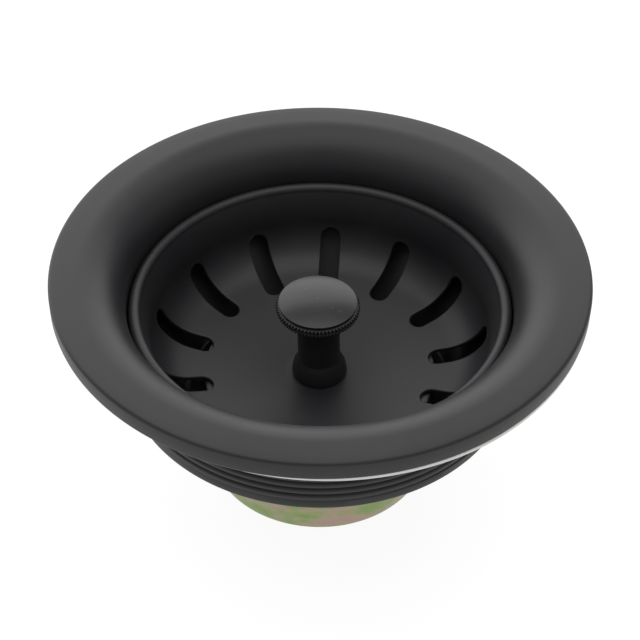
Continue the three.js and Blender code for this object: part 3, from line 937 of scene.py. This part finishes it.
def section_point(bowl, distance, below):
    """A point of the bowl's sheet as radius and depth, in millimetres."""
    x, _, z = bowl.point(distance, 0.0, below)
    return x / MM, (TOP - z) / MM


def grid_at(rows, angles):
    """A turned grid whose columns stand at the angles given."""
    radius = np.array([r for r, d in rows])[:, None]
    depth = np.array([d for r, d in rows])[:, None] + 0 * angles
    x, y = radius * np.cos(angles), radius * np.sin(angles)
    return np.stack([x * MM, y * MM, TOP - depth * MM], -1)


# ---- Knob and post ----
def lean(piece):
    """Tips a piece of the knob a little to the left about the post's foot, as it was riveted."""
    slope = math.tan(math.radians(KNOB_LEAN_DEG))
    foot = TOP - BASKET_FLOOR * MM
    for vertex in piece.data.vertices:
        vertex.co.x -= slope * (vertex.co.z - foot)
    piece.data.update()
    return piece


def basket_post():
    """The hollow post, swelled into a bell-shaped foot with a thin base."""
    foot_r, top, _ = extent("basket_post")
    bottom = BASKET_FLOOR - TOUCH
    bore = KNOB_BORE
    base = 0.4
    post_top = top - CAD_GAP + TOUCH
    bell = []
    for share in np.linspace(0, 1, 18):
        radius = POST_R + (foot_r - POST_R) * (1 - share ** 2)
        bell.append((radius, bottom - base - (FOOT_RISE - base) * share))
    rows = [
        (bore, bottom),
        *rounded([(bore, bottom, 0), (foot_r - 0.15, bottom, 0.25), bell[0]], loop=False),
        *bell,
        (POST_R, bottom - FOOT_RISE - 0.3),
        *rounded([(POST_R, bottom, 0), (POST_R, post_top, 0.1), (bore, top, 0)], loop=False),
        (bore, post_top),
    ]
    return turned("knob_post", rows, 128)


def knurled_ring():
    """The grip ring under the cap: a row of beads round its top edge, over a finely fluted body."""
    ring_r, top, bottom = extent("knob_ring")
    sides = KNURL_COUNT * 12
    angles = column_angles(sides)
    tooth = 0.5 - 0.5 * np.cos(KNURL_COUNT * angles)
    bore = KNOB_BORE
    groove_r, body_r = ring_r - 0.65, ring_r - 0.2
    bead_top, bead_bottom = top + 0.05, top + 0.95
    flute_depth, gap_share = 0.25, 0.85
    fluted = body_r - flute_depth * tooth
    rows = [
        (bore, bottom),
        (body_r - 0.7, bottom),
        (fluted - 0.2, bottom - 0.1),
        (fluted, bottom - 0.35),
        (fluted, bead_bottom + 0.25),
        (groove_r, bead_bottom + 0.05),
    ]
    for share in np.linspace(1, 0, 13):
        bulge = math.sqrt(max(0.0, 1 - (2 * share - 1) ** 2))
        radius = groove_r + (ring_r - groove_r) * bulge * (1 - gap_share * tooth)
        rows.append((radius, bead_top + (bead_bottom - bead_top) * share))
    rows += [(groove_r - 0.5, top), (bore, top)]
    return turned("knurled_ring", rows, sides, sharp_deg=60)


def knob_cap():
    """The smooth domed cap."""
    cap_r, top, bottom = extent("knob_cap")
    edge, dome, fullness = 0.22, 1.0, 2.2
    rows = [(0, bottom), (cap_r - edge, bottom), *arc(cap_r - edge, bottom - edge, edge, -90, 0, 4)]
    rim_depth = top + dome
    for share in np.linspace(0, 1, 40):
        radius = (cap_r - 0.04) * (1 - share)
        rows.append((radius, rim_depth - dome * (1 - (1 - share) ** fullness)))
    return turned("domed_cap", rows, 160)


# ---- Stem and stopper ----
def lift_stem():
    """The rod from the knob to the socket: threaded for its nut, necked for the clip."""
    _, top, bottom = extent("stem")
    neck_r, neck_half = 2.05, 0.7
    tip_r, taper = 1.3, 1.4
    groove, pitch, thread_bottom, thread_top = 0.38, 0.8, 45.2, 34
    rows = [
        (0, bottom),
        *rounded([
            (0, bottom, 0),
            (tip_r, bottom, 0.3),
            (STEM_R, bottom - taper, 0.3),
            (STEM_R, CLIP_DEPTH + neck_half, 0.1),
            (neck_r, CLIP_DEPTH + neck_half / 2, 0.3),
            (neck_r, CLIP_DEPTH - neck_half / 2, 0.3),
            (STEM_R, CLIP_DEPTH - neck_half, 0.1),
            (STEM_R, top, 0),
        ], loop=False),
        *thread(STEM_R, groove, pitch, thread_bottom, thread_top, cut_form, fade=0.5, sides=64),
        *rounded([(STEM_R, bottom, 0), (STEM_R, top, 0.3), (0, top, 0)], loop=False),
        (0, top),
    ]
    return turned("lift_stem", rows, 64)


def rubber_stopper():
    """The rubber brim that seals on the outlet's flange, over its tapered plug."""
    brim_r, edge, bottom = extent("stopper_seal")
    top = extent("floor_washer")[2] + TOUCH
    brim_bottom = extent("outlet_spud")[1] - TOUCH
    hole = STEM_R + 0.1
    plug_r, plug_top_r, seal_r = 19.4, 20.9, 22.6
    crown_r, shoulder_r = 10.2, 19
    rows = rounded([
        (hole, bottom, 0.2),
        (plug_r, bottom, 0.8),
        (plug_top_r, brim_bottom + 0.4, 0.5),
        (plug_top_r + 0.7, brim_bottom + 0.1, 0.3),
        (seal_r, brim_bottom, 0.4),
        (brim_r, brim_bottom, 0.35),
        (brim_r, edge + 0.5, 0.3),
        (brim_r - 0.6, edge, 0.3),
        (shoulder_r, top - 2.3, 3),
        (crown_r + 0.3, top - 0.2, 1),
        (crown_r, top, 0.1),
        (hole, top, 0.2),
    ])
    return turned("rubber_stopper", rows)


def stem_nut():
    """The hexagon nut that holds the stopper, its corners chamfered."""
    corner_r, top, bottom = extent("stem_nut")
    flat_r = corner_r * math.cos(math.pi / 6)
    sides = 6 * 24
    angles = column_angles(sides)
    sector = np.mod(angles, math.pi / 3) - math.pi / 6
    hexagon = flat_r / np.cos(sector)
    chamfer, chamfer_slope = 0.45, 1.7
    bore, countersink = STEM_R + 0.15, 0.3
    cut = [(np.minimum(hexagon, flat_r - 0.15 + chamfer * chamfer_slope * share), chamfer * share)
           for share in np.linspace(0, 1, 5)]
    rows = [
        (bore, bottom),
        (bore + 0.5, bottom),
        *[(outline, bottom - inset) for outline, inset in cut],
        (hexagon, bottom - chamfer - 0.05),
        (hexagon, top + chamfer + 0.05),
        *[(outline, top + inset) for outline, inset in cut[::-1]],
        (bore + 0.5, top),
        (bore, top + countersink),
        (bore, bottom - countersink),
    ]
    return turned("stem_hex_nut", rows, sides, sharp_deg=25)


# ---- The assembly ----
def fit_washer(name, cad_node, slot, hole_r, rounding, above, below, **form):
    """A washer in its CAD node's place, which reaches a little above and below the node's box."""
    outer_r, top, bottom = extent(cad_node)
    piece = washer(name, hole_r, outer_r, top - above, bottom + below, rounding, **form)
    stands_for(piece, cad_node, slot)


stands_for(drain_body(), "strainer_body", "black_coat")
stands_for(outlet_tube(), "outlet_spud", "black_coat", OUTLET_COAT)
stands_for(outlet_nut(), "spud_nut", "chromate")
stands_for(cross_bar(), "crossbar", "steel")
stands_for(hub_sleeve(), "hub_socket", "steel")
stands_for(retaining_clip(), "clip_spring", "steel")
foam_ring = stands_for(flange_seal(), "flange_seal", "foam")
stands_for(lock_nut(), "locknut", "chromate")
stands_for(tailpiece_nut(), "coupling_nut", "chromate")
closing = CAD_GAP - TOUCH
fit_washer("outlet_gasket", "spud_gasket", "fibre", OUTLET_R + 0.1, 0.2, closing, closing)
fit_washer("rubber_gasket_ring", "rubber_gasket", "rubber", GASKET_HOLE_R, 0.4, 0.1, 0.1, wave=0.04)
fit_washer("fibre_ring", "friction_ring", "fibre", FRICTION_HOLE_R, 0.15, 0.1, 0.2, wave=0.05)
fit_washer("tailpiece_washer_ring", "tailpiece_washer", "nylon", TAILPIECE_HOLE_R, 0.3, 0.2, 0.2)

stands_for(basket_bowl(), "basket_shell", "black_coat")
stands_for(lean(basket_post()), "basket_post", "black_coat")
stands_for(lean(knurled_ring()), "knob_ring", "black_coat")
stands_for(lean(knob_cap()), "knob_cap", "black_coat", KNOB_COAT)
fit_washer("floor_washer_ring", "floor_washer", "steel", STEM_R + CAD_GAP, 0.2, 0.2, 0, sides=96)
stands_for(lift_stem(), "stem", "steel")
stands_for(rubber_stopper(), "stopper_seal", "rubber")
fit_washer("stopper_plate_disc", "stopper_plate", "steel", STEM_R + 0.1, 0.3, 0.25, 0)
stands_for(stem_nut(), "stem_nut", "steel")


# ---- Stage, light and camera ----
def stage_floor():
    """A plain pale floor under the drain, wide enough for every view."""
    half, gap = 12.0, 0.0001
    mesh = bpy.data.meshes.new("stage_floor")
    corners = [(-half, -half, 0), (half, -half, 0), (half, half, 0), (-half, half, 0)]
    mesh.from_pydata(corners, [], [(0, 1, 2, 3)])
    floor = bpy.data.objects.new("stage_floor", mesh)
    bpy.context.scene.collection.objects.link(floor)
    floor.location.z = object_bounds()[0].z - gap
    material, _, shader = new_material("pale_floor")
    constants(shader, {"Base Color": (0.1, 0.1, 0.1, 1), "Roughness": 0.9,
                       "Emission Color": (1, 1, 1, 1), "Emission Strength": 0.92})
    mesh.materials.append(material)
    floor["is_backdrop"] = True


def soft_light(name, location, size, power, target=(0, 0, 0.03)):
    """A rectangular lamp that points at the target; sizes in metres, power in watts."""
    data = bpy.data.lights.new(name, "AREA")
    data.shape = "RECTANGLE"
    data.size, data.size_y = size
    data.energy = power
    lamp = bpy.data.objects.new(name, data)
    bpy.context.scene.collection.objects.link(lamp)
    lamp.location = location
    direction = Vector(target) - Vector(location)
    lamp.rotation_mode = "QUATERNION"
    lamp.rotation_quaternion = direction.to_track_quat("-Z", "Y")


def studio_light():
    """A white surround, a wide lamp overhead and a wider one behind the drain."""
    world = bpy.data.worlds.new("studio")
    world.use_nodes = True
    background = world.node_tree.nodes["Background"]
    background.inputs["Color"].default_value = (1, 1, 1, 1)
    background.inputs["Strength"].default_value = 0.45
    bpy.context.scene.world = world
    soft_light("overhead_box", location=(0, -0.03, 1.0), size=(1.3, 1.0), power=6.8)
    soft_light("back_box", location=(-0.3, 0.95, 0.5), size=(2.6, 0.95), power=15.6)


def place_camera():
    """The camera stands in front of the drain and above it, and looks a little below its middle."""
    distance = 0.33765
    stand_elevation = 0.70856
    look_down = 0.7441
    roll = 0.00972
    away, above = distance * math.cos(stand_elevation), distance * math.sin(stand_elevation)
    position = Vector((0, -away, TOP + above))
    forward = Vector((0, math.cos(look_down), -math.sin(look_down)))
    level = Vector((1, 0, 0))
    right = level * math.cos(roll) + level.cross(forward) * math.sin(roll)
    up = right.cross(forward)
    data = bpy.data.cameras.new("camera")
    data.sensor_width = 36
    data.lens = 90
    data.clip_start = 0.01
    camera = bpy.data.objects.new("camera", data)
    bpy.context.scene.collection.objects.link(camera)
    facing = Matrix((right, up, -forward)).transposed().to_4x4()
    camera.matrix_world = Matrix.Translation(position) @ facing
    bpy.context.scene.camera = camera


stage_floor()
studio_light()
place_camera()
bpy.context.scene.view_settings.view_transform = "Standard"
